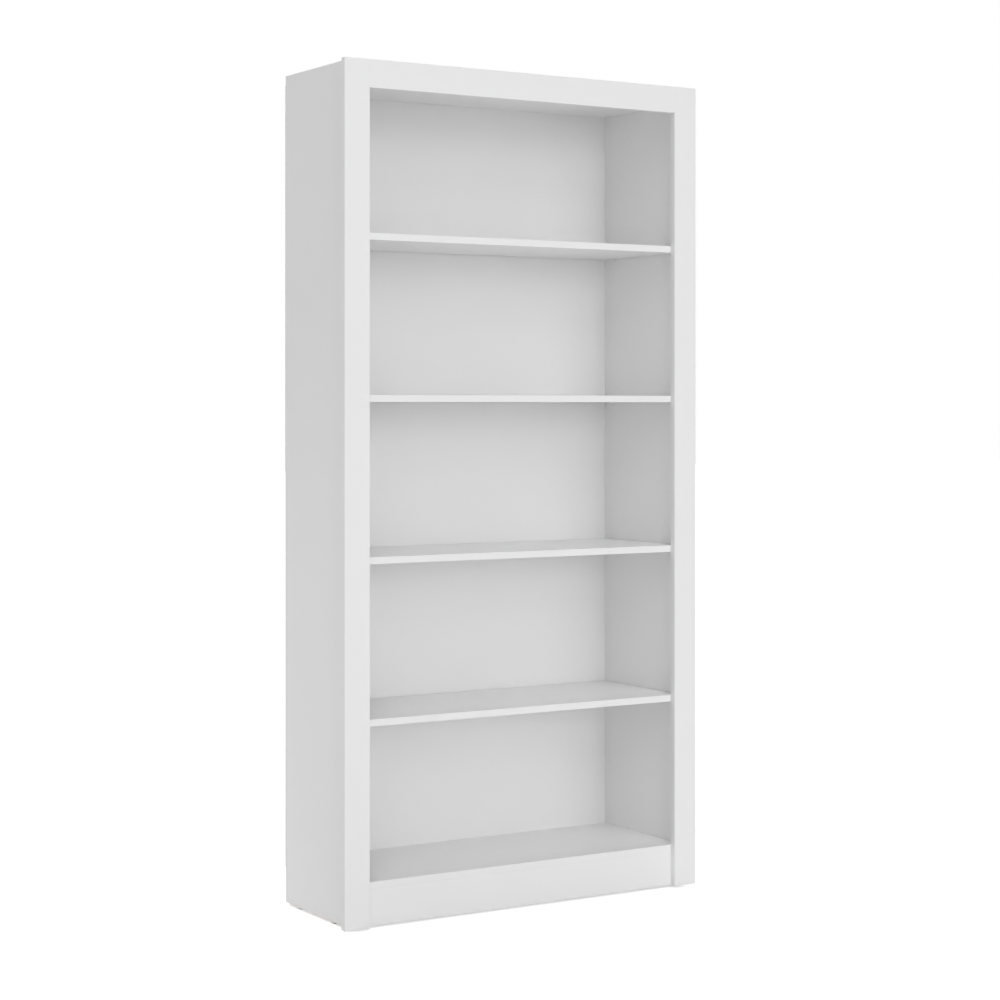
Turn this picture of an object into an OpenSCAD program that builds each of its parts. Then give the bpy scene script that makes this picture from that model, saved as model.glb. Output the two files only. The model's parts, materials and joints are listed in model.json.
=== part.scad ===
// Tall bookcase with a face frame, five bays and four adjustable shelves.
// +Z up, front faces -Y, origin under the middle of the case at floor level. Millimetres.

/* [Overall] */
// Width over the face frame
overall_w = 915; // [700:1:1200]
// Depth from the face of the stiles to the rear of the back joining strip
overall_d = 325; // [260:1:450]
// Height from the floor to the top of the face frame
overall_h = 1845; // [1500:1:2300]

/* [Boards] */
// Thickness of every board
board_t = 15; // [14:0.5:22]
// Thickness of the back panels
back_t = 3; // [2.5:0.5:6]
// Width of each stile
stile_w = 60; // [52:1:90]
// Height of the top rail
rail_h = 60; // [50:1:120]
// How far each side panel stands in from the outer edge of its stile
side_inset = 20; // [12:1:26]
// How far the top panel lies below the top of the face frame
top_recess = 21; // [19:1:40]
// Height of the plinths
plinth_h = 79; // [60:1:140]
// How far the back panels stand in from the outer faces of the sides
back_inset = 1; // [0:0.5:4]

/* [Shelves] */
// Gap between each end of a shelf and the side panel
shelf_end_gap = 1.5; // [1:0.1:3]
// Gap between the front edge of a shelf and the stiles
shelf_front_gap = 0.5; // [0.3:0.1:3]
// Gap between the rear edge of a shelf and the back joining strip
shelf_rear_gap = 1; // [0.5:0.1:5]
// Distance between neighbouring shelf positions
hole_pitch = 32; // [24:1:50]
// Front row of pin holes, behind the front edge of the side panel
pin_front_inset = 28; // [24:1:60]
// Rear row of pin holes, ahead of the rear edge of the side panel
pin_rear_inset = 37; // [24:1:80]

/* [Shelf pins] */
// Diameter of the pin's shank
pin_d = 5; // [4:0.5:7]
// Length of the shank in the side panel
pin_shank_l = 8; // [6:0.5:10]
// Diameter of the pin's collar and of the plugs' heads
pin_collar_d = 8; // [7:0.5:12]
// Thickness of the pin's collar
pin_collar_t = 1; // [0.6:0.1:1.2]
// Length of the tongue that the shelf lies on
tongue_l = 9; // [7:0.5:16]
// Width of the tongue
tongue_w = 8; // [6:0.5:14]
// Thickness of the tongue
tongue_t = 2.4; // [1.5:0.1:3]
// Thickness of the head of a hole plug
plug_head_t = 0.6; // [0.3:0.1:0.8]

/* [Cam fittings] */
// Diameter of the cam lock's pocket
cam_pocket_d = 15; // [12:0.5:18]
// Distance from the board's end to the middle of the cam lock
cam_reach = 24; // [20:1:34]
// Depth of the pocket below the middle of the board
cam_below_axis = 5; // [4.6:0.1:6]
// Diameter of the bore that the bolt's stem passes through
stem_bore_d = 8; // [7:0.5:9]
// Diameter of the bolt's threaded end
bolt_thread_d = 5; // [4:0.5:6]
// Length of the bolt's threaded end
bolt_thread_l = 10; // [8:0.5:11]
// Thickness of the cover caps and depth of each cam lock below the surface
cap_t = 0.8; // [0.6:0.1:1.5]

/* [Dowels] */
// Diameter of the dowels
dowel_d = 8; // [6:0.5:10]
// Length of the dowels
dowel_l = 30; // [25:1:40]
// Length of a dowel that sits in the face of a board
dowel_in_face = 10; // [8:0.5:11]

/* [Glides, nails and wall brackets] */
// Height of the floor glides
glide_h = 5; // [3:0.5:12]
// Diameter of the floor glides
glide_d = 14; // [10:0.5:15]
// Front glide, behind the front edge of the side panel
glide_front_inset = 84; // [30:1:110]
// Rear glide, ahead of the rear edge of the side panel
glide_rear_inset = 58; // [30:1:90]
// Length of the glide nails above the glide
glide_nail_l = 16; // [10:1:25]
// Diameter of the nails' shanks
nail_d = 1.6; // [1.2:0.1:2]
// Length of the back panel nails
nail_l = 20; // [14:1:25]
// Diameter of the nails' heads
nail_head_d = 3.6; // [3:0.1:5]
// Thickness of the back panel nails' heads
nail_head_t = 0.6; // [0.4:0.1:1]
// Furthest that two nails of the back panels stand apart
nail_spacing = 160; // [100:5:250]
// Half the distance between the wall brackets
bracket_x = 300; // [150:5:330]
// Width of a wall bracket
bracket_w = 20; // [14:1:40]
// Length of the wall bracket's foot on the top panel
bracket_foot = 26; // [20:1:60]
// Height of the wall bracket's upright leg
bracket_leg = 18; // [16:1:18]
// Thickness of the wall bracket
bracket_t = 1.5; // [1:0.1:3]
// Diameter of the holes in the wall bracket
bracket_hole_d = 5; // [4:0.5:6]

/* [Joining strip] */
// Thickness of the strip's flanges
strip_flange_t = 1; // [0.6:0.1:1.5]
// Height of the strip's flanges
strip_flange_h = 13; // [8:1:14]
// Thickness of the strip's web
strip_web_t = 1.2; // [0.8:0.1:2]

/* [Hidden] */
$fn = 48;
eps = 0.01;
// Clearances: round a fastener in its hole, beyond a fastener's end, and round a push fit strip
fit_gap = 0.1;
end_gap = 0.5;
strip_gap = 0.2;
// Distances that lay out the fasteners
joint_inset = 50;      // from a board's corner to its cam fitting
dowel_step = 32;       // from a cam fitting to its dowel
plinth_step = 16;      // cam and dowel above and below the middle of a plinth
rail_dowel_up = 15;    // end dowels above the rail's lower edge
rail_dowel_x = 260;    // dowels between the rail and the top panel
nail_end_inset = 30;   // first nail from the corner of a back panel
strip_nail_gap = 20;   // nails above and below the joining strip

shelf_count = 4;
bays = shelf_count + 1;

// Planes across X (right-hand side), from the middle outwards
frame_x = overall_w / 2;
side_out_x = frame_x - side_inset;
side_in_x = side_out_x - board_t;
side_mid_x = side_out_x - board_t / 2;
stile_in_x = frame_x - stile_w;

// Planes across Y, from the front backwards
face_y = -overall_d / 2;
carcass_y = face_y + board_t;
rear_y = overall_d / 2;
back_rear_y = rear_y - strip_flange_t;
back_y = back_rear_y - back_t;
pin_ys = [carcass_y + pin_front_inset, back_y - pin_rear_inset];

// Planes across Z, from the floor upwards
foot_z = glide_h;
base_z = foot_z + plinth_h;
floor_z = base_z + board_t;
top_z = overall_h;
roof_top_z = top_z - top_recess;
roof_z = roof_top_z - board_t;
rail_z = top_z - rail_h;
bay_h = (roof_z - floor_z - shelf_count * board_t) / bays;

// Underside of shelf i, counted from the top
function shelf_z(i) = roof_z - i * (bay_h + board_t);
// Middle of bay i, counted from the top
function bay_mid_z(i) = roof_z - (i - 1) * (bay_h + board_t) - bay_h / 2;
// Height of the axis of a pin below the shelf that it carries
pin_drop = pin_collar_d / 2;

// The back panels meet behind the third shelf
strip_shelf = 3;
strip_z = shelf_z(strip_shelf) + board_t / 2;

// Cam fittings on the right-hand side: [point where the boards meet, way the bolt runs, way the pocket opens]
top_cams = [for (y = [carcass_y + joint_inset, back_y - joint_inset])
    [[side_in_x, y, roof_z + board_t / 2], [-1, 0, 0], [0, 0, 1]]];
bottom_cams = [for (y = [carcass_y + joint_inset, back_y - joint_inset])
    [[side_in_x, y, base_z + board_t / 2], [-1, 0, 0], [0, 0, -1]]];
plinth_mid_z = foot_z + plinth_h / 2;
plinth_cams = [
    [[side_in_x, carcass_y + board_t / 2, plinth_mid_z + plinth_step], [-1, 0, 0], [0, 1, 0]],
    [[side_in_x, back_y - board_t / 2, plinth_mid_z + plinth_step], [-1, 0, 0], [0, -1, 0]]];
stile_cams = [for (i = [1:bays])
    [[side_mid_x, carcass_y, bay_mid_z(i)], [0, 1, 0], [-1, 0, 0]]];
rail_cams = [
    [[stile_in_x, face_y + board_t / 2, roof_top_z + top_recess / 2], [-1, 0, 0], [0, 1, 0]]];

// Dowels on the right-hand side: [point where the boards meet, way it runs, length before that point]
top_dowels = [for (y = [carcass_y + joint_inset + dowel_step, back_y - joint_inset - dowel_step])
    [[side_in_x, y, roof_z + board_t / 2], [-1, 0, 0], dowel_in_face]];
bottom_dowels = [for (y = [carcass_y + joint_inset + dowel_step, back_y - joint_inset - dowel_step])
    [[side_in_x, y, base_z + board_t / 2], [-1, 0, 0], dowel_in_face]];
plinth_dowels = [for (y = [carcass_y + board_t / 2, back_y - board_t / 2])
    [[side_in_x, y, plinth_mid_z - plinth_step], [-1, 0, 0], dowel_in_face]];
stile_dowels = [for (z = concat([floor_z + dowel_step], [for (i = [1:bays]) bay_mid_z(i) + 2 * dowel_step]))
    [[side_mid_x, carcass_y, z], [0, 1, 0], dowel_in_face]];
rail_end_dowels = [
    [[stile_in_x, face_y + board_t / 2, rail_z + rail_dowel_up], [-1, 0, 0], dowel_l / 2]];
rail_back_dowels = [for (x = [-rail_dowel_x, 0, rail_dowel_x])
    [[x, carcass_y, roof_z + board_t / 2], [0, 1, 0], dowel_in_face]];

// Nails of the back panels: [x, z] of each, laid out evenly between two ends
function spread(a, b) = let (n = max(1, ceil((b - a) / nail_spacing))) [for (i = [0:n]) a + (b - a) * i / n];
upper_side_nails = [for (z = spread(strip_z + strip_nail_gap, roof_top_z - nail_end_inset), s = [-1, 1])
    [s * side_mid_x, z]];
lower_side_nails = [for (z = spread(base_z + nail_end_inset, strip_z - strip_nail_gap), s = [-1, 1])
    [s * side_mid_x, z]];
across_xs = spread(nail_end_inset - side_in_x, side_in_x - nail_end_inset);
upper_nails = concat(upper_side_nails, [for (x = across_xs) [x, roof_z + board_t / 2]]);
lower_nails = concat(lower_side_nails, [for (x = across_xs) [x, base_z + board_t / 2]]);

glide_ys = [carcass_y + glide_front_inset, back_y - glide_rear_inset];

// Places that a shelf pin can be moved to, in steps of the hole pitch from where the shelf is
spare_steps = [-1, 1];

// Colours
white_board = "#e9e9ea";
white_plastic = "#f2f2f2";
zinc = "#b9bcc0";
beech = "#d9b382";

pin_sides = ["left", "right"];
pin_rows = ["front", "rear"];
function pin_name(i, s, r) = str("shelf_", i, "_pin_", pin_rows[r], "_", pin_sides[s]);

// ---- Helpers ----

// A box between two corners
module block(low, high) {
    translate(low) cube(high - low);
}

// Children on both sides of the middle plane
module both_sides() {
    children();
    mirror([1, 0, 0]) children();
}

// Children drawn with +X along one direction and +Z along another, at a point
module aim(point, along, open) {
    side = cross(open, along);
    multmatrix([
        [along.x, side.x, open.x, point.x],
        [along.y, side.y, open.y, point.y],
        [along.z, side.z, open.z, point.z],
        [0, 0, 0, 1]])
        children();
}

// A cylinder along +X between two distances
module rod(r, from, to) {
    translate([from, 0, 0]) rotate([0, 90, 0]) cylinder(r = r, h = to - from);
}

// ---- Cam fittings and dowels, in a frame with the bolt along +X and the pocket open to +Z ----

bolt_head_r = 3.2;
bolt_neck_r = 1.8;
bolt_stem_r = 2.6;
bolt_collar_l = 3;
bolt_head_l = 3;
thread_depth = 0.5;
thread_pitch = 2;
thread_crest = 0.2;    // width of the flat crest, as a share of the pitch

module cam_void() {
    rod(bolt_thread_d / 2 + fit_gap, -bolt_thread_l - end_gap, eps);
    rod(stem_bore_d / 2, -eps / 2, cam_reach);
    translate([cam_reach, 0, -cam_below_axis])
        cylinder(d = cam_pocket_d, h = cam_below_axis + board_t / 2 + eps);
}

// One turn of the thread: a ring with sloping flanks
module thread_ring(x) {
    r = bolt_thread_d / 2;
    crest = thread_pitch * (1 - thread_crest) / 2;
    translate([x, 0, 0]) rotate([0, 90, 0]) rotate_extrude()
        polygon([[0, 0], [r - thread_depth, 0], [r, crest], [r, thread_pitch - crest],
                 [r - thread_depth, thread_pitch], [0, thread_pitch]]);
}

module cam_bolt() {
    turns = floor(bolt_thread_l / thread_pitch);
    for (i = [1:turns]) thread_ring(-i * thread_pitch);
    rod(stem_bore_d / 2 - fit_gap, 0, bolt_collar_l);
    rod(bolt_stem_r, bolt_collar_l - eps, cam_reach - cam_pocket_d / 2 - fit_gap);
    rod(bolt_neck_r, cam_reach - cam_pocket_d / 2 - 2 * fit_gap, cam_reach - bolt_head_l / 2 + eps);
    rod(bolt_head_r, cam_reach - bolt_head_l / 2, cam_reach + bolt_head_l / 2);
}

driver_slot_l = 8;
driver_slot_w = 1.4;
driver_slot_d = 1.6;

module cam_lock() {
    lock_top = board_t / 2 - cap_t;
    difference() {
        translate([cam_reach, 0, -cam_below_axis + fit_gap])
            cylinder(r = cam_pocket_d / 2 - fit_gap, h = cam_below_axis - fit_gap + lock_top - fit_gap);
        rod(bolt_head_r + 2 * fit_gap, 0, cam_reach + bolt_head_l / 2 + end_gap);
        for (a = [0, 90])
            translate([cam_reach, 0, lock_top]) rotate([0, 0, a + 45])
                cube([driver_slot_l, driver_slot_w, 2 * driver_slot_d], center = true);
    }
}

// A cap that lies in the pocket's mouth, with a stub in the driver slots
module cam_cap() {
    translate([cam_reach, 0, board_t / 2 - cap_t])
        cylinder(r = cam_pocket_d / 2 - fit_gap, h = cap_t);
    translate([cam_reach, 0, board_t / 2 - cap_t - driver_slot_d / 2])
        cylinder(d = driver_slot_w - 2 * fit_gap, h = driver_slot_d / 2 + eps);
}

module voids(cams) {
    for (c = cams) aim(c[0], c[1], c[2]) cam_void();
}

module bolts(cams) {
    color(zinc) both_sides() for (c = cams) aim(c[0], c[1], c[2]) cam_bolt();
}

module locks(cams) {
    color(zinc) both_sides() for (c = cams) aim(c[0], c[1], c[2]) cam_lock();
}

dowel_chamfer = 1;

// Any direction square to the way a dowel runs
function square_to(along) = abs(along.z) > 0.5 ? [1, 0, 0] : [0, 0, 1];

module dowel_voids(dowels) {
    for (d = dowels) aim(d[0], d[1], square_to(d[1]))
        rod(dowel_d / 2 + fit_gap, -d[2] - end_gap, dowel_l - d[2] + end_gap);
}

module dowel(before) {
    r = dowel_d / 2;
    c = dowel_chamfer;
    translate([-before, 0, 0]) rotate([0, 90, 0]) rotate_extrude()
        polygon([[0, 0], [r - c, 0], [r, c], [r, dowel_l - c], [r - c, dowel_l], [0, dowel_l]]);
}

module dowel_set(dowels) {
    color(beech) for (d = dowels) aim(d[0], d[1], square_to(d[1])) dowel(d[2]);
}

module rail_dowels() {
    both_sides() dowel_set(rail_end_dowels);
    dowel_set(rail_back_dowels);
}

// Caps on the cam locks of the stiles and of the top panel, the ones within sight
module cam_cover_caps() {
    color(white_plastic) both_sides() for (c = concat(stile_cams, top_cams))
        aim(c[0], c[1], c[2]) cam_cap();
}

// ---- Nails of the back panels ----

module nail_voids(nails) {
    for (n = nails) aim([n.x, back_rear_y, n.y], [0, -1, 0], [0, 0, 1]) {
        rod(nail_head_d / 2 + fit_gap, -eps, nail_head_t);
        rod(nail_d / 2 + fit_gap, 0, nail_l + end_gap);
    }
}

module nail() {
    rod(nail_head_d / 2, 0, nail_head_t);
    rod(nail_d / 2, nail_head_t - eps, nail_l - nail_d);
    translate([nail_l - nail_d - eps, 0, 0]) rotate([0, 90, 0])
        cylinder(r1 = nail_d / 2, r2 = nail_d / 8, h = nail_d);
}

// ---- Shelf pins, in a frame with the shank along +X into the side panel ----

// Children at each pin hole of the right-hand side, in the given steps of the hole pitch
module at_pin_holes(steps) {
    for (i = [1:shelf_count], y = pin_ys, k = steps)
        translate([side_in_x, y, shelf_z(i) - pin_drop + k * hole_pitch]) children();
}

module pin_void() {
    rod(pin_d / 2 + fit_gap, -eps, pin_shank_l + end_gap);
}

tongue_rib_w = 2;
tongue_rib_end = 2;    // from the end of the rib to the tongue's tip

module shelf_pin() {
    tip_r = pin_d / 2 - 2 * end_gap;
    rod(pin_d / 2, -eps, pin_shank_l - end_gap);
    translate([pin_shank_l - end_gap - eps, 0, 0]) rotate([0, 90, 0])
        cylinder(r1 = pin_d / 2, r2 = tip_r, h = end_gap);
    rod(pin_collar_d / 2, -pin_collar_t, 0);
    block([-pin_collar_t - tongue_l, -tongue_w / 2, pin_drop - tongue_t],
          [-pin_collar_t / 2, tongue_w / 2, pin_drop]);
    translate([0, tongue_rib_w / 2, 0]) rotate([90, 0, 0]) linear_extrude(tongue_rib_w)
        polygon([[-pin_collar_t / 2, -pin_drop / 2], [-pin_collar_t / 2, pin_drop - tongue_t / 2],
                 [tongue_rib_end - pin_collar_t - tongue_l, pin_drop - tongue_t / 2]]);
}

module placed_pin(i, side, row) {
    color(white_plastic) mirror([side == 0 ? 1 : 0, 0, 0])
        translate([side_in_x, pin_ys[row], shelf_z(i) - pin_drop]) shelf_pin();
}

module pin_hole_plugs() {
    color(white_plastic) both_sides() at_pin_holes(spare_steps) {
        rod(pin_d / 2, -eps, pin_shank_l - end_gap);
        rod(pin_collar_d / 2, -plug_head_t, 0);
    }
}

// ---- Boards ----

// Side panel on the right-hand side; the left one is its mirror image
module side_panel() {
    color(white_board) difference() {
        block([side_in_x, carcass_y, foot_z], [side_out_x, back_y, top_z]);
        voids(concat(top_cams, bottom_cams, plinth_cams, stile_cams));
        dowel_voids(concat(top_dowels, bottom_dowels, plinth_dowels, stile_dowels));
        at_pin_holes(concat([0], spare_steps)) pin_void();
        nail_voids([for (n = concat(upper_nails, lower_nails)) if (n.x > side_in_x) n]);
        glide_nail_voids();
    }
}

module stile() {
    color(white_board) difference() {
        block([stile_in_x, face_y, foot_z], [frame_x, carcass_y, top_z]);
        voids(concat(stile_cams, rail_cams));
        dowel_voids(concat(stile_dowels, rail_end_dowels));
    }
}

module top_rail() {
    color(white_board) difference() {
        block([-stile_in_x, face_y, rail_z], [stile_in_x, carcass_y, top_z]);
        both_sides() voids(rail_cams);
        both_sides() dowel_voids(rail_end_dowels);
        dowel_voids(rail_back_dowels);
    }
}

module top_panel() {
    color(white_board) difference() {
        block([-side_in_x, carcass_y, roof_z], [side_in_x, back_y, roof_top_z]);
        both_sides() voids(top_cams);
        both_sides() dowel_voids(top_dowels);
        dowel_voids(rail_back_dowels);
        nail_voids(upper_nails);
        both_sides() bracket_screw_void();
    }
}

module bottom_panel() {
    color(white_board) difference() {
        block([-side_in_x, carcass_y, base_z], [side_in_x, back_y, floor_z]);
        both_sides() voids(bottom_cams);
        both_sides() dowel_voids(bottom_dowels);
        nail_voids(lower_nails);
    }
}

// A plinth with its front face at y, drilled by the fittings that meet it
module plinth(y) {
    color(white_board) difference() {
        block([-side_in_x, y, foot_z], [side_in_x, y + board_t, base_z]);
        both_sides() voids(plinth_cams);
        both_sides() dowel_voids(plinth_dowels);
    }
}

module shelf(i) {
    color(white_board)
        block([shelf_end_gap - side_in_x, carcass_y + shelf_front_gap, shelf_z(i)],
              [side_in_x - shelf_end_gap, back_y - strip_flange_t - shelf_rear_gap, shelf_z(i) + board_t]);
}

// ---- Back ----

back_x = side_out_x - back_inset;
strip_clear = strip_web_t / 2 + strip_gap;

module upper_back_panel() {
    color(white_board) difference() {
        block([-back_x, back_y, strip_z + strip_clear], [back_x, back_rear_y, roof_top_z]);
        nail_voids(upper_nails);
    }
}

module lower_back_panel() {
    color(white_board) difference() {
        block([-back_x, back_y, base_z], [back_x, back_rear_y, strip_z - strip_clear]);
        nail_voids(lower_nails);
    }
}

module back_joining_strip() {
    half_l = side_in_x - strip_gap;
    color(white_plastic) translate([0, 0, strip_z]) {
        for (y = [back_y - strip_flange_t, back_rear_y])
            block([-half_l, y, -strip_flange_h / 2], [half_l, y + strip_flange_t, strip_flange_h / 2]);
        block([-half_l, back_y - eps, -strip_web_t / 2], [half_l, back_rear_y + eps, strip_web_t / 2]);
    }
}

module back_panel_nails() {
    color(zinc) for (n = concat(upper_nails, lower_nails))
        aim([n.x, back_rear_y, n.y], [0, -1, 0], [0, 0, 1]) nail();
}

// ---- Feet and wall brackets ----

glide_chamfer = 1;

module glide_nail_voids() {
    for (y = glide_ys) translate([side_mid_x, y, foot_z - eps])
        cylinder(r = nail_d / 2 + fit_gap, h = glide_nail_l + end_gap);
}

glide_nail_head_d = 7;
glide_nail_head_t = 1;
glide_nail_sink = glide_h / 2;

module floor_glides() {
    r = glide_d / 2;
    color(white_plastic) both_sides() for (y = glide_ys) translate([side_mid_x, y, 0]) difference() {
        rotate_extrude()
            polygon([[0, 0], [r - glide_chamfer, 0], [r, glide_chamfer], [r, foot_z], [0, foot_z]]);
        translate([0, 0, -eps]) cylinder(d = glide_nail_head_d + 2 * fit_gap, h = glide_nail_sink + eps);
        cylinder(r = nail_d / 2 + fit_gap, h = foot_z + eps);
    }
}

module glide_nails() {
    color(zinc) both_sides() for (y = glide_ys) translate([side_mid_x, y, 0]) {
        translate([0, 0, glide_nail_sink - glide_nail_head_t])
            cylinder(d = glide_nail_head_d, h = glide_nail_head_t);
        translate([0, 0, glide_nail_sink - eps])
            cylinder(d = nail_d, h = foot_z + glide_nail_l - glide_nail_sink);
    }
}

bracket_foot_y = back_rear_y - bracket_foot / 2 - bracket_t;
bracket_hole_z = roof_top_z + bracket_t + (bracket_leg - bracket_t) / 2;
bracket_screw_l = 12;
bracket_screw_d = 3.5;
bracket_screw_head_d = 7;
bracket_screw_head_t = 2.2;

module bracket_screw_void() {
    translate([bracket_x, bracket_foot_y, roof_top_z - bracket_screw_l - end_gap])
        cylinder(r = bracket_screw_d / 2 + fit_gap, h = bracket_screw_l + end_gap + eps);
}

module wall_brackets() {
    color(zinc) both_sides() translate([bracket_x, 0, 0]) difference() {
        union() {
            block([-bracket_w / 2, back_rear_y - bracket_foot, roof_top_z],
                  [bracket_w / 2, back_rear_y, roof_top_z + bracket_t]);
            block([-bracket_w / 2, back_rear_y - bracket_t, roof_top_z],
                  [bracket_w / 2, back_rear_y, roof_top_z + bracket_leg]);
        }
        translate([0, bracket_foot_y, roof_top_z - eps])
            cylinder(d = bracket_hole_d, h = bracket_t + 2 * eps);
        translate([0, back_rear_y + eps, bracket_hole_z]) rotate([90, 0, 0])
            cylinder(d = bracket_hole_d, h = bracket_t + 2 * eps);
    }
}

module bracket_screws() {
    color(zinc) both_sides() translate([bracket_x, bracket_foot_y, roof_top_z]) {
        translate([0, 0, -bracket_screw_l])
            cylinder(d = bracket_screw_d, h = bracket_screw_l + bracket_t + eps);
        translate([0, 0, bracket_t])
            cylinder(d1 = bracket_screw_head_d, d2 = bracket_screw_head_d / 2, h = bracket_screw_head_t);
    }
}

// ---- Nodes ----

mirror([1, 0, 0]) side_panel();  // left_side_panel
side_panel();  // right_side_panel
mirror([1, 0, 0]) stile();  // left_stile
stile();  // right_stile
top_rail();
top_panel();
bottom_panel();
plinth(carcass_y);  // front_plinth
plinth(back_y - board_t);  // rear_plinth
upper_back_panel();
lower_back_panel();
back_joining_strip();
for (i = [1:shelf_count])
    shelf(i);
for (i = [1:shelf_count], s = [0, 1], r = [0, 1])
    placed_pin(i, s, r);
pin_hole_plugs();
bolts(top_cams);  // top_panel_cam_bolts
locks(top_cams);  // top_panel_cam_locks
both_sides() dowel_set(top_dowels);  // top_panel_dowels
bolts(bottom_cams);  // bottom_panel_cam_bolts
locks(bottom_cams);  // bottom_panel_cam_locks
both_sides() dowel_set(bottom_dowels);  // bottom_panel_dowels
bolts(plinth_cams);  // plinth_cam_bolts
locks(plinth_cams);  // plinth_cam_locks
both_sides() dowel_set(plinth_dowels);
bolts(stile_cams);  // stile_cam_bolts
locks(stile_cams);  // stile_cam_locks
both_sides() dowel_set(stile_dowels);
bolts(rail_cams);  // rail_cam_bolts
locks(rail_cams);  // rail_cam_locks
rail_dowels();
cam_cover_caps();
back_panel_nails();
floor_glides();
glide_nails();
wall_brackets();
bracket_screws();
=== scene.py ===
"""Looks of a tall white bookcase: laminated boards, fittings, soft studio light and camera."""
import json
import math

import bpy
import bmesh
from mathutils import Matrix, Vector


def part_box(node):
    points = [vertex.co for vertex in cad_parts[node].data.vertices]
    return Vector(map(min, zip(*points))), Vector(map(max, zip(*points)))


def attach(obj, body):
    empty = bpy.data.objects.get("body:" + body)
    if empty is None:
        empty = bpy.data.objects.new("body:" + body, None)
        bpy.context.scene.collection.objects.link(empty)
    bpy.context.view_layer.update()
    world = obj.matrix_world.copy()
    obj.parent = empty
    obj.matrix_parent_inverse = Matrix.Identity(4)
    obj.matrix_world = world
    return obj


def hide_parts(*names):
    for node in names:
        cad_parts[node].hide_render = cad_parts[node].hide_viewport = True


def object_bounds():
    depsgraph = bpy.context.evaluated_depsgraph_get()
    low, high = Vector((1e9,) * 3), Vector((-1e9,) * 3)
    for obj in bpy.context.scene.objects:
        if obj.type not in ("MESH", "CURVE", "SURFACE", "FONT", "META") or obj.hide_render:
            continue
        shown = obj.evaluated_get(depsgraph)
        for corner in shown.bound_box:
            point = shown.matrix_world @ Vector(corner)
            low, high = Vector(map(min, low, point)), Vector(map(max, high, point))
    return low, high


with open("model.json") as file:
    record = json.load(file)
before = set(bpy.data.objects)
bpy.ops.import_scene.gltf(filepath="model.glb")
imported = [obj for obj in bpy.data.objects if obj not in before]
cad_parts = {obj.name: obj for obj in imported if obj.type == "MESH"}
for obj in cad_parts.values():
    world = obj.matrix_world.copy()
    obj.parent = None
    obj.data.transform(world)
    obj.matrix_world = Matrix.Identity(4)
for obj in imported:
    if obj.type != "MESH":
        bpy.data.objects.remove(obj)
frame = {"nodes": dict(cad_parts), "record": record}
CAD_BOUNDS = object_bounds()
NODES = frame["nodes"]
RECORD = frame["record"]
BODY_OF = {node: body for body, members in RECORD["behaviour"]["bodies"].items() for node in members}
SLOT_OF = {part["node"]: part["material_slot"] for part in RECORD["subparts"]}
MM = 0.001
X, Y, Z = 0, 1, 2
LOW, HIGH = 0, 1

# ---- Camera: level, with the horizon placed by the lens shift ----
CAMERA_AT = (-2.6728, -4.3856, 1.1120)
CAMERA_YAW = -31.605
LENS = 81.45
SENSOR = 36
SHIFT_Y = -0.09474

# ---- Studio: soft suns, each with its azimuth, elevation and strength ----
SUN_WIDTH = 30
SUNS = {
    "front_low": (-10, 4, 0.71),
    "front_left": (-30, 35, 0.52),
    "front_left_high": (-30, 60, 0.55),
    "front_right": (10, 18, 0.4),
    "left": (-110, 30, 0.66),
    "right": (110, 30, 1.5),
    "rear": (180, 35, 0.6),
}
WORLD_FILL = 0.05
FLOOR_WHITE = 0.94
FLOOR_SIZE = 30
FLOOR_DROP = 0.2 * MM
# What the floor adds for the camera alone, so that it is as white as the backdrop
FLOOR_GLOW = 0.55

# ---- Finishes: layer thicknesses, colours, and how many cells or waves go to a metre ----
ALBEDO = 0.93
BAND_T = 0.6 * MM
SKIN_T = 0.45 * MM
GLUE_T = 0.07 * MM
PAINT_T = 0.15 * MM
PEARL_SCALE = 1500
CLOUD_SCALE = 4
CHIP_SCALE = 420
CHIP_DARK, CHIP_PALE, CHIP_BARK = (0.36, 0.25, 0.15), (0.66, 0.52, 0.36), (0.22, 0.15, 0.09)
FIBRE_SCALE = 500
SCREEN_WAVES = 2800
HARDBOARD_DARK, HARDBOARD_PALE = (0.25, 0.145, 0.075), (0.37, 0.23, 0.13)
HARDBOARD_FIBRE, HARDBOARD_WORN = (0.18, 0.10, 0.05), (0.48, 0.32, 0.20)
SPARK_SCALE = 2600
CRYSTAL_SCALE = 900
SCRATCH_SCALE = 2200
ZINC_COOL, ZINC_WARM, ZINC_BRIGHT = (0.60, 0.61, 0.64), (0.70, 0.69, 0.66), (0.82, 0.83, 0.85)
BEECH_DARK, BEECH_PALE, BEECH_FLECK = (0.62, 0.42, 0.25), (0.78, 0.58, 0.38), (0.40, 0.25, 0.14)


def link(obj):
    bpy.context.scene.collection.objects.link(obj)
    return obj


def make_camera():
    cam = bpy.data.cameras.new("camera")
    cam.lens = LENS
    cam.sensor_width = SENSOR
    cam.shift_y = SHIFT_Y
    cam.clip_end = 2 * FLOOR_SIZE
    obj = link(bpy.data.objects.new("camera", cam))
    obj.location = CAMERA_AT
    obj.rotation_euler = (math.radians(90), 0, math.radians(CAMERA_YAW))
    bpy.context.scene.camera = obj


make_camera()


# ---- Node trees ----

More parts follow.
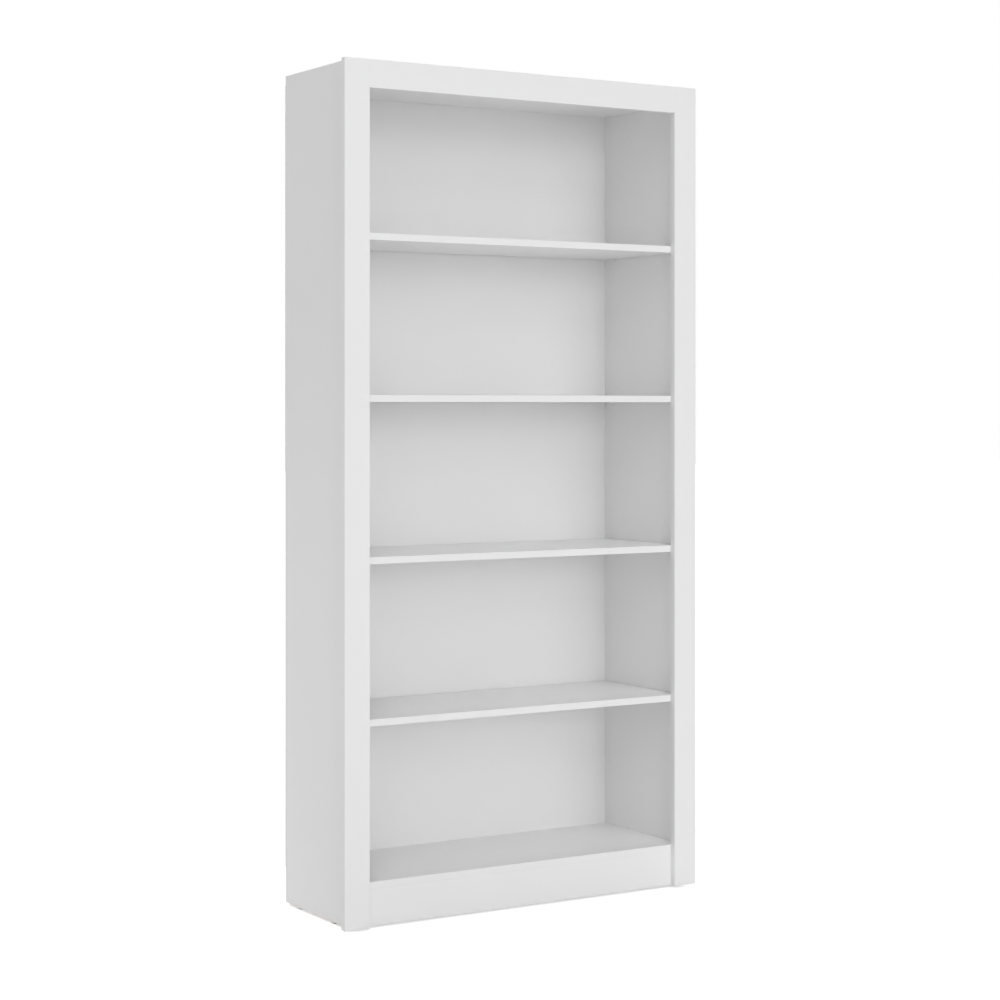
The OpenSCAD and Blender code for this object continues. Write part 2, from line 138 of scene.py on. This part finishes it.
class Nodes:
    """Short calls for the nodes that the materials share."""

    def __init__(self, tree):
        self.tree = tree
        tree.nodes.clear()

    def node(self, kind, inputs=(), out=0, **settings):
        """A new node with its settings and inputs; returns one of its outputs."""
        n = self.tree.nodes.new(kind)
        for key, value in settings.items():
            setattr(n, key, value)
        for key, value in dict(inputs).items():
            self.put(value, n.inputs[key])
        return n.outputs[out] if n.outputs else n

    def put(self, value, socket):
        """Links a socket, or sets a number or colour on it."""
        if isinstance(value, bpy.types.NodeSocket):
            self.tree.links.new(value, socket)
        elif socket.type == "RGBA":
            socket.default_value = (*value, 1.0)
        else:
            socket.default_value = value

    def math(self, operation, a, b=0.0):
        return self.node("ShaderNodeMath", {0: a, 1: b}, operation=operation)

    def vector(self, operation, a, b=(0, 0, 0)):
        return self.node("ShaderNodeVectorMath", {0: a, 1: b}, operation=operation)

    def axes(self, value):
        """The three numbers of a vector."""
        first = self.node("ShaderNodeSeparateXYZ", {0: value})
        return [first.node.outputs[i] for i in range(3)]

    def any_of(self, values):
        """1 where any of the 0-or-1 values is 1."""
        total = values[0]
        for value in values[1:]:
            total = self.math("MAXIMUM", total, value)
        return total


class Shader(Nodes):
    """A Principled material on object coordinates, which are metres in the frame of the object."""

    def __init__(self, name):
        self.material = bpy.data.materials.new(name)
        self.material.use_nodes = True
        super().__init__(self.material.node_tree)
        self.bsdf = self.tree.nodes.new("ShaderNodeBsdfPrincipled")
        self.node("ShaderNodeOutputMaterial", {"Surface": self.bsdf.outputs[0]})
        self.place = self.node("ShaderNodeTexCoord", out="Object")

    def noise(self, scale, detail=3.0, roughness=0.5, stretch=(1, 1, 1), at=None):
        where = self.vector("MULTIPLY", self.place if at is None else at, stretch)
        return self.node("ShaderNodeTexNoise", {"Vector": where, "Scale": scale, "Detail": detail,
                                                "Roughness": roughness})

    def chips(self, scale, stretch, out="Color"):
        """Flat cells, as of pressed chips."""
        return self.node("ShaderNodeTexVoronoi", {"Vector": self.vector("MULTIPLY", self.place, stretch),
                                                  "Scale": scale}, out=out)

    def mix(self, share, a, b):
        """A colour between a and b."""
        return self.node("ShaderNodeMix", {0: share, 6: a, 7: b}, out=2, data_type="RGBA")

    def blend(self, share, a, b):
        """A number between a and b."""
        return self.node("ShaderNodeMix", {0: share, 2: a, 3: b}, data_type="FLOAT")

    def ramp(self, value, low, high, to_low=0.0, to_high=1.0):
        return self.node("ShaderNodeMapRange", {0: value, 1: low, 2: high, 3: to_low, 4: to_high})

    def finish(self, colour, roughness, height=None, depth=0.05 * MM, strength=0.3, metallic=0.0):
        self.put(colour, self.bsdf.inputs["Base Color"])
        self.put(roughness, self.bsdf.inputs["Roughness"])
        if height is not None:
            bump = self.node("ShaderNodeBump", {"Height": height, "Distance": depth, "Strength": strength})
            self.put(bump, self.bsdf.inputs["Normal"])
        self.bsdf.inputs["Metallic"].default_value = metallic
        return self.material


def grey(value, warm=0.0):
    return (value * (1 + warm), value, value * (1 - warm))


# ---- Materials ----

def melamine(s):
    """Colour, roughness and height of white melamine, with a fine pearl and faint clouds."""
    cloud = s.noise(CLOUD_SCALE, 3.0)
    pearl = s.noise(PEARL_SCALE, 2.0)
    wide = s.noise(PEARL_SCALE / 9, 2.0)
    colour = s.mix(s.ramp(cloud, 0.3, 0.7), grey(ALBEDO * 0.992), grey(ALBEDO))
    colour = s.mix(s.ramp(pearl, 0.55, 0.8, 0.0, 0.02), colour, grey(ALBEDO * 0.8))
    rough = s.math("ADD", s.ramp(pearl, 0.3, 0.7, 0.34, 0.42), s.ramp(cloud, 0.3, 0.7, -0.02, 0.03))
    height = s.math("ADD", pearl, s.math("MULTIPLY", wide, 0.8))
    return colour, rough, height


def raw_chipboard(s, flat):
    """Colour, roughness and height of a cut particleboard, its chips lying square to the axis flat."""
    stretch = [1.0, 1.0, 1.0]
    stretch[flat] = 3.0
    chip = s.chips(CHIP_SCALE, stretch)
    shade = s.axes(chip)[0]
    fine = s.noise(4 * CHIP_SCALE, 3.0)
    colour = s.mix(shade, CHIP_DARK, CHIP_PALE)
    colour = s.mix(s.ramp(fine, 0.35, 0.75, 0.0, 0.5), colour, CHIP_BARK)
    height = s.math("ADD", shade, fine)
    return colour, s.ramp(fine, 0.2, 0.8, 0.85, 0.97), height


def laminated_board(node, flat, banded):
    """A white board: skins on its two faces square to the axis flat, bands on the named edges, and bare
    chipboard elsewhere."""
    s = Shader(node + "_finish")
    low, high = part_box(node)
    at = s.axes(s.place)

    def depth(axis, end):
        """How far a point lies inside one face of the board."""
        face = (low, high)[end][axis]
        return s.math("SUBTRACT", at[axis], face) if end == LOW else s.math("SUBTRACT", face, at[axis])

    skin_depth = s.math("MINIMUM", depth(flat, LOW), depth(flat, HIGH))
    in_skin = s.math("LESS_THAN", skin_depth, SKIN_T)
    covers, glue = [in_skin], []
    for axis, end in banded:
        d = depth(axis, end)
        covers.append(s.math("LESS_THAN", d, BAND_T))
        glue.append(s.math("LESS_THAN", s.math("ABSOLUTE", s.math("SUBTRACT", d, BAND_T)), GLUE_T))
    white = s.any_of(covers)
    colour, rough, height = melamine(s)
    if glue:
        line = s.math("MULTIPLY", s.any_of(glue), in_skin)
        colour = s.mix(s.math("MULTIPLY", line, 0.5), colour, grey(0.5, 0.05))
        height = s.math("SUBTRACT", height, line)
    bare_colour, bare_rough, bare_height = raw_chipboard(s, flat)
    return s.finish(s.mix(white, bare_colour, colour), s.blend(white, bare_rough, rough),
                    s.blend(white, s.math("MULTIPLY", bare_height, 4.0), height), 0.03 * MM, 0.35)


def painted_hardboard(node):
    """A thin back panel: white paint in front, bare hardboard with the press screen's print behind."""
    s = Shader(node + "_finish")
    low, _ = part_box(node)
    x, y, z = s.axes(s.place)
    in_paint = s.math("LESS_THAN", s.math("SUBTRACT", y, low.y), PAINT_T)
    colour, rough, height = melamine(s)
    fibre = s.noise(FIBRE_SCALE, 6.0, 0.7)
    clump = s.noise(FIBRE_SCALE / 8, 4.0, 0.6)
    broad = s.noise(9.0, 3.0)
    diagonals = [s.math(way, x, z) for way in ("ADD", "SUBTRACT")]
    waves = [s.math("SINE", s.math("MULTIPLY", diagonal, SCREEN_WAVES)) for diagonal in diagonals]
    screen = s.math("MULTIPLY", *waves)
    brown = s.mix(s.ramp(broad, 0.3, 0.7), HARDBOARD_DARK, HARDBOARD_PALE)
    brown = s.mix(s.ramp(clump, 0.45, 0.75, 0.0, 0.5), brown, HARDBOARD_FIBRE)
    brown = s.mix(s.ramp(fibre, 0.35, 0.7), brown, HARDBOARD_FIBRE)
    brown = s.mix(s.ramp(screen, -1.0, 1.0, 0.0, 0.35), brown, HARDBOARD_WORN)
    rear_height = s.math("MULTIPLY", s.math("ADD", screen, s.math("MULTIPLY", fibre, 2.0)), 2.0)
    return s.finish(s.mix(in_paint, brown, colour), s.blend(in_paint, 0.82, rough),
                    s.blend(in_paint, rear_height, height), 0.03 * MM, 0.4)


def moulded_plastic(name):
    """White plastic with a fine spark-eroded grain."""
    s = Shader(name)
    grain = s.noise(SPARK_SCALE, 2.0)
    cloud = s.noise(60.0, 2.0)
    colour = s.mix(cloud, grey(0.88, 0.004), grey(0.93, 0.002))
    return s.finish(colour, s.ramp(grain, 0.3, 0.7, 0.42, 0.55), grain, 0.03 * MM, 0.4)


def zinc_plate(name):
    """Zinc-plated steel with a faint crystal pattern and drawn scratches."""
    s = Shader(name)
    crystal = s.axes(s.chips(CRYSTAL_SCALE, (1, 1, 1)))[0]
    scratch = s.noise(SCRATCH_SCALE, 2.0, 0.6, (1, 1, 0.05))
    cloud = s.noise(120.0, 3.0)
    colour = s.mix(s.ramp(cloud, 0.3, 0.7), ZINC_COOL, ZINC_WARM)
    colour = s.mix(s.math("MULTIPLY", crystal, 0.15), colour, ZINC_BRIGHT)
    rough = s.math("ADD", s.ramp(crystal, 0.0, 1.0, 0.26, 0.38), s.ramp(scratch, 0.4, 0.7, 0.0, 0.1))
    return s.finish(colour, rough, scratch, 0.01 * MM, 0.3, metallic=1.0)


def beech(name):
    """Turned beech: grain and short flecks along the v coordinate of the dowel."""
    s = Shader(name)
    uv = s.node("ShaderNodeTexCoord", out="UV")
    grain = s.noise(30.0, 4.0, 0.6, (6, 0.6, 1), at=uv)
    fleck = s.noise(60.0, 2.0, 0.5, (8, 1.5, 1), at=uv)
    colour = s.mix(s.ramp(grain, 0.3, 0.7), BEECH_DARK, BEECH_PALE)
    colour = s.mix(s.ramp(fleck, 0.62, 0.7, 0.0, 0.6), colour, BEECH_FLECK)
    return s.finish(colour, s.ramp(grain, 0.3, 0.7, 0.55, 0.7), grain, 0.05 * MM, 0.4)


PLASTIC = moulded_plastic("white_plastic_finish")
ZINC = zinc_plate("zinc_finish")
BEECH = beech("beech_finish")
BY_SLOT = {"white_plastic": PLASTIC, "zinc_steel": ZINC, "beech": BEECH}

FRONT, REAR = (Y, LOW), (Y, HIGH)
TOP, BOTTOM = (Z, HIGH), (Z, LOW)
SIDES = [(X, LOW), (X, HIGH)]
SHELVES = [node for node in NODES if node.startswith("shelf_") and "pin" not in node]

# Each board's thin axis and the edges that carry a band
BOARDS = {
    "left_side_panel": (X, [FRONT, TOP, REAR]),
    "right_side_panel": (X, [FRONT, TOP, REAR]),
    "left_stile": (Y, [*SIDES, TOP, BOTTOM]),
    "right_stile": (Y, [*SIDES, TOP, BOTTOM]),
    "top_rail": (Y, [TOP, BOTTOM]),
    "top_panel": (Z, [FRONT]),
    "bottom_panel": (Z, [FRONT]),
    "front_plinth": (Y, [BOTTOM]),
    "rear_plinth": (Y, [BOTTOM]),
    **{node: (Z, [FRONT, REAR, *SIDES]) for node in SHELVES},
}
BACKS = ["upper_back_panel", "lower_back_panel"]


# ---- Softened edges of the CAD nodes ----

BOARD_EDGE_R = 0.45 * MM
BACK_EDGE_R = 0.2 * MM
SMALL_EDGE_R = 0.15 * MM
# A hole's rim is rounded by this share of the board's edge radius
RIM_SHARE = 0.25
# Points closer than this are welded; boards have no finer detail
BOARD_WELD = 0.02 * MM
SMALL_WELD = 0.002 * MM
# An edge is rounded where its faces turn by more than this many degrees
BENT = 30

def edge_weights(name, box_edges_only, hole_share=0.0):
    """A node group that clears imported normals and weights the edges to be rounded.

    On a board these are the edges of its own box, and with a smaller share the rims of its holes.
    """
    group = bpy.data.node_groups.new(name, "GeometryNodeTree")
    group.is_modifier = True
    group.interface.new_socket("Geometry", in_out="INPUT", socket_type="NodeSocketGeometry")
    group.interface.new_socket("Geometry", in_out="OUTPUT", socket_type="NodeSocketGeometry")
    n = Nodes(group)
    mesh = n.node("NodeGroupInput")
    mesh = n.node("GeometryNodeRemoveAttribute", {0: mesh, "Name": "custom_normal"})
    bent = n.math("GREATER_THAN", n.node("GeometryNodeInputMeshEdgeAngle"), math.radians(BENT))
    if box_edges_only:
        place = n.node("GeometryNodeInputPosition")
        low = n.node("GeometryNodeBoundBox", {0: mesh}, out="Min")
        high = n.node("GeometryNodeBoundBox", {0: mesh}, out="Max")
        gaps = [n.vector("ABSOLUTE", n.vector("SUBTRACT", place, end)) for end in (low, high)]
        near = [n.math("LESS_THAN", gap, 0.01 * MM) for gap in n.axes(n.vector("MINIMUM", *gaps))]
        planes = n.math("ADD", n.math("ADD", near[0], near[1]), near[2])
        outer = n.math("GREATER_THAN", planes, 1.5)
        rim = n.math("MULTIPLY", n.math("GREATER_THAN", planes, 0.5), hole_share)
        weight = n.math("MULTIPLY", n.math("MAXIMUM", outer, rim), bent)
    else:
        weight = bent
    mesh = n.node("GeometryNodeStoreNamedAttribute",
                  {"Geometry": mesh, "Name": "bevel_weight_edge", "Value": weight},
                  data_type="FLOAT", domain="EDGE")
    mesh = n.node("GeometryNodeSetShadeSmooth", {0: mesh, "Shade Smooth": True}, domain="FACE")
    n.node("NodeGroupOutput", {0: mesh})
    return group


def soften(obj, group, gap, radius, segments=3, clamp=False):
    """Welds the imported triangles into flat faces and rounds the weighted edges."""
    weld = obj.modifiers.new("weld", "WELD")
    weld.merge_threshold = gap
    flat = obj.modifiers.new("flat", "DECIMATE")
    flat.decimate_type = "DISSOLVE"
    flat.angle_limit = math.radians(0.5)
    weights = obj.modifiers.new("weights", "NODES")
    weights.node_group = group
    bevel = obj.modifiers.new("bevel", "BEVEL")
    bevel.limit_method = "WEIGHT"
    bevel.width = radius
    bevel.segments = segments
    bevel.loop_slide = False
    bevel.use_clamp_overlap = clamp
    shade = obj.modifiers.new("shade", "WEIGHTED_NORMAL")
    shade.weight = 100
    shade.keep_sharp = False


BOARD_WEIGHTS = edge_weights("board_edges", True, RIM_SHARE)
SMALL_WEIGHTS = edge_weights("small_edges", False)


def finish_node(obj, material):
    obj.data.materials.clear()
    obj.data.materials.append(material)


def finish_boards():
    for node, (flat, banded) in BOARDS.items():
        finish_node(NODES[node], laminated_board(node, flat, banded))
        soften(NODES[node], BOARD_WEIGHTS, BOARD_WELD, BOARD_EDGE_R)
    for node in BACKS:
        finish_node(NODES[node], painted_hardboard(node))
        soften(NODES[node], BOARD_WEIGHTS, BOARD_WELD, BACK_EDGE_R)


def finish_fittings():
    for node, obj in NODES.items():
        if node in BOARDS or node in BACKS:
            continue
        finish_node(obj, BY_SLOT[SLOT_OF[node]])
        if SLOT_OF[node] == "white_plastic" or "locks" in node:
            soften(obj, SMALL_WEIGHTS, SMALL_WELD, SMALL_EDGE_R, 2, clamp=True)


finish_boards()
finish_fittings()


# ---- Fasteners and brackets as meshes of their own ----

def solids(node):
    """Lowest and highest corner of each separate solid of a CAD node, in order."""
    bm = bmesh.new()
    bm.from_mesh(NODES[node].data)
    bmesh.ops.remove_doubles(bm, verts=bm.verts, dist=SMALL_WELD)
    seen, boxes = set(), []
    for first in bm.verts:
        if first in seen:
            continue
        seen.add(first)
        group = [first]
        for vert in group:
            for edge in vert.link_edges:
                other = edge.other_vert(vert)
                if other not in seen:
                    seen.add(other)
                    group.append(other)
        corners = [[pick(v.co[axis] for v in group) for axis in (X, Y, Z)] for pick in (min, max)]
        boxes.append((Vector(corners[LOW]), Vector(corners[HIGH])))
    bm.free()
    return sorted(boxes, key=lambda box: [round(c, 5) for c in box[LOW]])


def aimed(start, along):
    """A frame at start, with its Z axis along a direction."""
    return Matrix.Translation(start) @ Vector(along).to_track_quat("Z", "Y").to_matrix().to_4x4()


def ring_stack(bm, place, rings):
    """A closed skin over rings of points, each a list of (x, y, z); the first and last are capped."""
    uv = bm.loops.layers.uv.verify()
    rows = [[bm.verts.new(place @ Vector(point)) for point in ring] for ring in rings]
    count = len(rows[0])
    length = sum((Vector(b[0]) - Vector(a[0])).length for a, b in zip(rings, rings[1:]))
    run = 0.0
    for k, (low, high) in enumerate(zip(rows, rows[1:])):
        step = (Vector(rings[k + 1][0]) - Vector(rings[k][0])).length
        for i in range(count):
            j = (i + 1) % count
            face = bm.faces.new((low[i], low[j], high[j], high[i]))
            face.smooth = True
            ends = ((i, run), (i + 1, run), (i + 1, run + step), (i, run + step))
            for loop, (turn, far) in zip(face.loops, ends):
                loop[uv].uv = (turn / count, far / length)
        run += step
    bm.faces.new(list(reversed(rows[0])))
    bm.faces.new(rows[-1])


def circle(radius, height, count):
    return [(radius * math.cos(2 * math.pi * i / count), radius * math.sin(2 * math.pi * i / count), height)
            for i in range(count)]


def finish_piece(name, bm, node, material, crease=40):
    """Turns a bmesh into the piece that stands for a CAD node and rides on its body."""
    bmesh.ops.recalc_face_normals(bm, faces=bm.faces)
    for edge in bm.edges:
        edge.smooth = len(edge.link_faces) == 2 and edge.calc_face_angle() < math.radians(crease)
    mesh = bpy.data.meshes.new(name)
    bm.to_mesh(mesh)
    bm.free()
    mesh.materials.append(material)
    piece = link(bpy.data.objects.new(name, mesh))
    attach(piece, BODY_OF[node])
    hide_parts(node)
    return piece


def long_axis(low, high):
    size = high - low
    return max((X, Y, Z), key=lambda axis: size[axis])


FLUTES = 18
FLUTE_POINTS = 5
FLUTE_DEPTH = 0.22 * MM
DOWEL_CHAMFER = 1 * MM


def fluted_dowels(node):
    """Beech dowels with pressed flutes along them and chamfered ends."""
    bm = bmesh.new()
    for low, high in solids(node):
        axis = long_axis(low, high)
        length = high[axis] - low[axis]
        radius = (high[(axis + 1) % 3] - low[(axis + 1) % 3]) / 2
        start = (low + high) / 2
        start[axis] = low[axis]
        along = Vector((0, 0, 0))
        along[axis] = 1

        def ring(reach, height):
            points = []
            for i in range(FLUTES * FLUTE_POINTS):
                angle = 2 * math.pi * i / (FLUTES * FLUTE_POINTS)
                dip = abs(math.sin(FLUTES * angle / 2)) ** 0.5
                r = min(radius - FLUTE_DEPTH * (1 - dip), reach)
                points.append((r * math.cos(angle), r * math.sin(angle), height))
            return points

        inner = radius - DOWEL_CHAMFER
        rings = [ring(inner, 0), ring(radius, DOWEL_CHAMFER), ring(radius, length - DOWEL_CHAMFER),
                 ring(inner, length)]
        ring_stack(bm, aimed(start, along), rings)
    finish_piece(node.replace("dowels", "fluted_dowels"), bm, node, BEECH)


# Rings to a turn of thread, and the flat crest as a share of the pitch
THREAD_STEPS = 8
THREAD_CREST = 0.2


def thread_rings(radius, depth, pitch, start, length, count):
    """Rings of a screw thread that rises from a core of radius - depth and fades at both ends."""
    steps = max(2, round(THREAD_STEPS * length / pitch))
    rings = []
    for k in range(steps + 1):
        height = length * k / steps
        fade = min(1, height / pitch, (length - height) / pitch)
        ring = []
        for i in range(count):
            turn = (height / pitch - i / count) % 1
            crest = min(1, (1 - abs(2 * turn - 1)) / (1 - THREAD_CREST))
            r = radius - depth + depth * crest * fade
            angle = 2 * math.pi * i / count
            ring.append((r * math.cos(angle), r * math.sin(angle), start + height))
        rings.append(ring)
    return rings


THREAD_COUNT = 24
BOLT_THREAD = {"radius": 2.5 * MM, "depth": 0.55 * MM, "pitch": 2 * MM, "length": 9 * MM}
BOLT_TIP = 1 * MM
# Radius and height of the bolt above its thread
BOLT_PROFILE = [(3.5, 10), (3.9, 10.3), (3.9, 12.7), (3.5, 13), (2.6, 13), (2.6, 26.4), (1.8, 27.2),
                (1.8, 31.8), (2.9, 32.5), (3.2, 32.9), (3.2, 34.9), (2.6, 35.5)]


def cam_bolts(node):
    """Bolts that the cam locks draw in: a coarse thread, a collar, a stem, a neck and a head."""
    bm = bmesh.new()
    for low, high in solids(node):
        axis = long_axis(low, high)
        inwards = 1 if axis == Y or low.x < 0 else -1
        start = (low + high) / 2
        start[axis] = (low if inwards > 0 else high)[axis]
        along = Vector((0, 0, 0))
        along[axis] = inwards
        core = BOLT_THREAD["radius"] - BOLT_THREAD["depth"]
        rings = [circle(core / 2, 0, THREAD_COUNT)]
        rings += thread_rings(start=BOLT_TIP, count=THREAD_COUNT, **BOLT_THREAD)
        rings += [circle(r * MM, z * MM, THREAD_COUNT) for r, z in BOLT_PROFILE]
        ring_stack(bm, aimed(start, along), rings)
    finish_piece(node.replace("bolts", "threaded_bolts"), bm, node, ZINC)


SCREW_THREAD = {"radius": 1.75 * MM, "depth": 0.5 * MM, "pitch": 1.6 * MM, "length": 10 * MM}
SCREW_TIP = 2 * MM
SCREW_HEAD_R = 3.5 * MM
SCREW_HEAD_T = 2.2 * MM
SCREW_COUNT = 48
SCREW_HEAD_RINGS = 14
# The upright rim as a share of the head's height, and how far in its rings reach
SCREW_HEAD_RIM = 0.35
SCREW_HEAD_REACH = 0.98
CROSS_ARM = 1.9 * MM
CROSS_HALF_W = 0.5 * MM
CROSS_DEPTH = 1.1 * MM


def pan_head_screws(node):
    """Wood screws through the brackets, with a domed head and a cross recess."""
    bm = bmesh.new()
    for low, high in solids(node):
        start = (low + high) / 2
        start.z = low.z
        shank = high.z - low.z - SCREW_HEAD_T
        core = SCREW_THREAD["radius"] - SCREW_THREAD["depth"]
        rings = [circle(0.1 * core, 0, SCREW_COUNT), circle(0.7 * core, SCREW_TIP / 2, SCREW_COUNT)]
        rings += thread_rings(start=SCREW_TIP, count=SCREW_COUNT, **SCREW_THREAD)
        rings += [circle(core, shank, SCREW_COUNT), circle(SCREW_HEAD_R - 0.2 * MM, shank, SCREW_COUNT)]
        for k in range(SCREW_HEAD_RINGS + 1):
            r = SCREW_HEAD_R * (1 - k / SCREW_HEAD_RINGS * SCREW_HEAD_REACH)
            bulge = math.sqrt(max(0, 1 - (r / SCREW_HEAD_R) ** 2))
            dome = SCREW_HEAD_T * (SCREW_HEAD_RIM + (1 - SCREW_HEAD_RIM) * bulge)
            ring = []
            for x, y, _ in circle(r, 0, SCREW_COUNT):
                across, along = sorted((abs(x), abs(y)))
                cut = CROSS_DEPTH if across < CROSS_HALF_W and along < CROSS_ARM else 0
                ring.append((x, y, shank + dome - cut))
            rings.append(ring)
        ring_stack(bm, Matrix.Translation(start), rings)
    finish_piece("pan_head_screws", bm, node, ZINC)


BRACKET_T = 1.5 * MM
BRACKET_CREASE = 50
BRACKET_BEND_R = 1 * MM
BRACKET_HOLE_R = 2.5 * MM
BRACKET_SIDE_STEPS = 8
BRACKET_BEND_STEPS = 8
FOOT_HOLE = 14.5 * MM
LEG_HOLE = 9.75 * MM
FOOT_PATCH = 8 * MM
LEG_PATCH = 6 * MM


def bent_brackets(node):
    """Wall brackets bent from one strip of steel, with a hole in each leg."""
    bm = bmesh.new()
    for low, high in solids(node):
        bent_bracket(bm, low, high)
    piece = finish_piece("bent_wall_brackets", bm, node, ZINC, BRACKET_CREASE)
    bevel = piece.modifiers.new("bevel", "BEVEL")
    bevel.limit_method = "ANGLE"
    bevel.angle_limit = math.radians(BRACKET_CREASE)
    bevel.width = SMALL_EDGE_R
    bevel.segments = 2
    shade = piece.modifiers.new("shade", "WEIGHTED_NORMAL")
    shade.keep_sharp = False


def bent_bracket(bm, low, high):
    """One bracket: a flat sheet in (u along the strip, v across it), then bent up at the wall."""
    half_w = (high.x - low.x) / 2
    outer_r = BRACKET_T + BRACKET_BEND_R
    foot = high.y - low.y - outer_r
    arc = math.pi / 2 * outer_r
    leg = high.z - low.z - outer_r
    points, faces = [], []

    def point(u, v):
        key = (round(u, 7), round(v, 7))
        if key not in points:
            points.append(key)
        return points.index(key)

    fractions = [2 * i / BRACKET_SIDE_STEPS - 1 for i in range(BRACKET_SIDE_STEPS)]
    across = [half_w * f for f in (*fractions, 1)]

    def strip(rows):
        for u0, u1 in zip(rows, rows[1:]):
            for v0, v1 in zip(across, across[1:]):
                faces.append((point(u0, v0), point(u1, v0), point(u1, v1), point(u0, v1)))

    def patch(middle, half_u):
        """A rectangle across the strip with a round hole in its middle."""
        outline = [(half_u * f, -half_w) for f in fractions] + [(half_u, half_w * f) for f in fractions] \
            + [(-half_u * f, half_w) for f in fractions] + [(-half_u, -half_w * f) for f in fractions]
        count = len(outline)
        for i in range(count):
            (u0, v0), (u1, v1) = outline[i], outline[(i + 1) % count]
            a0, a1 = (2 * math.pi * (k / count - 0.375) for k in (i, i + 1))
            rim0, rim1 = ((BRACKET_HOLE_R * math.cos(a), BRACKET_HOLE_R * math.sin(a)) for a in (a0, a1))
            faces.append(tuple(point(middle + u, v) for u, v in ((u0, v0), (u1, v1), rim1, rim0)))

    foot_hole = foot + outer_r - FOOT_HOLE
    leg_hole = foot + arc + LEG_HOLE - outer_r
    strip([0, foot_hole - FOOT_PATCH])
    patch(foot_hole, FOOT_PATCH)
    bend_rows = [foot + arc * i / BRACKET_BEND_STEPS for i in range(BRACKET_BEND_STEPS + 1)]
    strip([foot_hole + FOOT_PATCH, *bend_rows, leg_hole - LEG_PATCH])
    patch(leg_hole, LEG_PATCH)
    strip([leg_hole + LEG_PATCH, foot + arc + leg])

    def bent(u, v, w):
        """Where a point of the sheet lies once it is bent; w is its depth from the outer face."""
        x = (low.x + high.x) / 2 + v
        turn = min(max(u - foot, 0), arc) / outer_r
        reach = outer_r - w
        y = low.y + min(u, foot) + reach * math.sin(turn)
        z = low.z + outer_r - reach * math.cos(turn) + max(u - foot - arc, 0)
        return bm.verts.new((x, y, z))

    outer = [bent(u, v, 0) for u, v in points]
    inner = [bent(u, v, BRACKET_T) for u, v in points]
    used = {}
    for face in faces:
        bm.faces.new([outer[i] for i in reversed(face)])
        bm.faces.new([inner[i] for i in face])
        for a, b in zip(face, face[1:] + face[:1]):
            used.setdefault(frozenset((a, b)), []).append((a, b))
    for (a, b), *others in used.values():
        if not others:
            bm.faces.new((outer[a], outer[b], inner[b], inner[a]))
    for face in bm.faces:
        face.smooth = True


for fastener_node in sorted(NODES):
    if fastener_node.endswith("_dowels"):
        fluted_dowels(fastener_node)
    elif fastener_node.endswith("_cam_bolts"):
        cam_bolts(fastener_node)
pan_head_screws("bracket_screws")
bent_brackets("wall_brackets")


# ---- Studio ----

def make_floor():
    mesh = bpy.data.meshes.new("floor")
    bm = bmesh.new()
    bmesh.ops.create_grid(bm, x_segments=1, y_segments=1, size=FLOOR_SIZE)
    bm.to_mesh(mesh)
    bm.free()
    floor = link(bpy.data.objects.new("floor", mesh))
    floor.location.z = CAD_BOUNDS[0].z - FLOOR_DROP
    s = Shader("floor")
    seen = s.node("ShaderNodeLightPath", out="Is Camera Ray")
    s.bsdf.inputs["Emission Color"].default_value = (1, 1, 1, 1)
    s.put(s.math("MULTIPLY", seen, FLOOR_GLOW), s.bsdf.inputs["Emission Strength"])
    tone = s.mix(s.noise(3.0, 2.0), grey(FLOOR_WHITE - 0.01), grey(FLOOR_WHITE + 0.01))
    floor.data.materials.append(s.finish(tone, 0.9))


def make_world():
    """A white backdrop, which lights the object only faintly."""
    world = bpy.data.worlds.new("studio")
    bpy.context.scene.world = world
    world.use_nodes = True
    n = Nodes(world.node_tree)
    seen = n.node("ShaderNodeLightPath", out="Is Camera Ray")
    level = n.math("MAXIMUM", seen, WORLD_FILL)
    back = n.node("ShaderNodeBackground", {"Color": (1, 1, 1), "Strength": level})
    n.node("ShaderNodeOutputWorld", {"Surface": back})


def make_suns():
    for name, (azimuth, elevation, strength) in SUNS.items():
        light = bpy.data.lights.new(name, "SUN")
        light.energy = strength
        light.angle = math.radians(SUN_WIDTH)
        a, e = math.radians(azimuth), math.radians(elevation)
        towards = Vector((math.sin(a) * math.cos(e), -math.cos(a) * math.cos(e), math.sin(e)))
        link(bpy.data.objects.new(name, light)).rotation_euler = towards.to_track_quat("Z", "Y").to_euler()


make_floor()
make_world()
make_suns()
bpy.context.scene.view_settings.view_transform = "Standard"
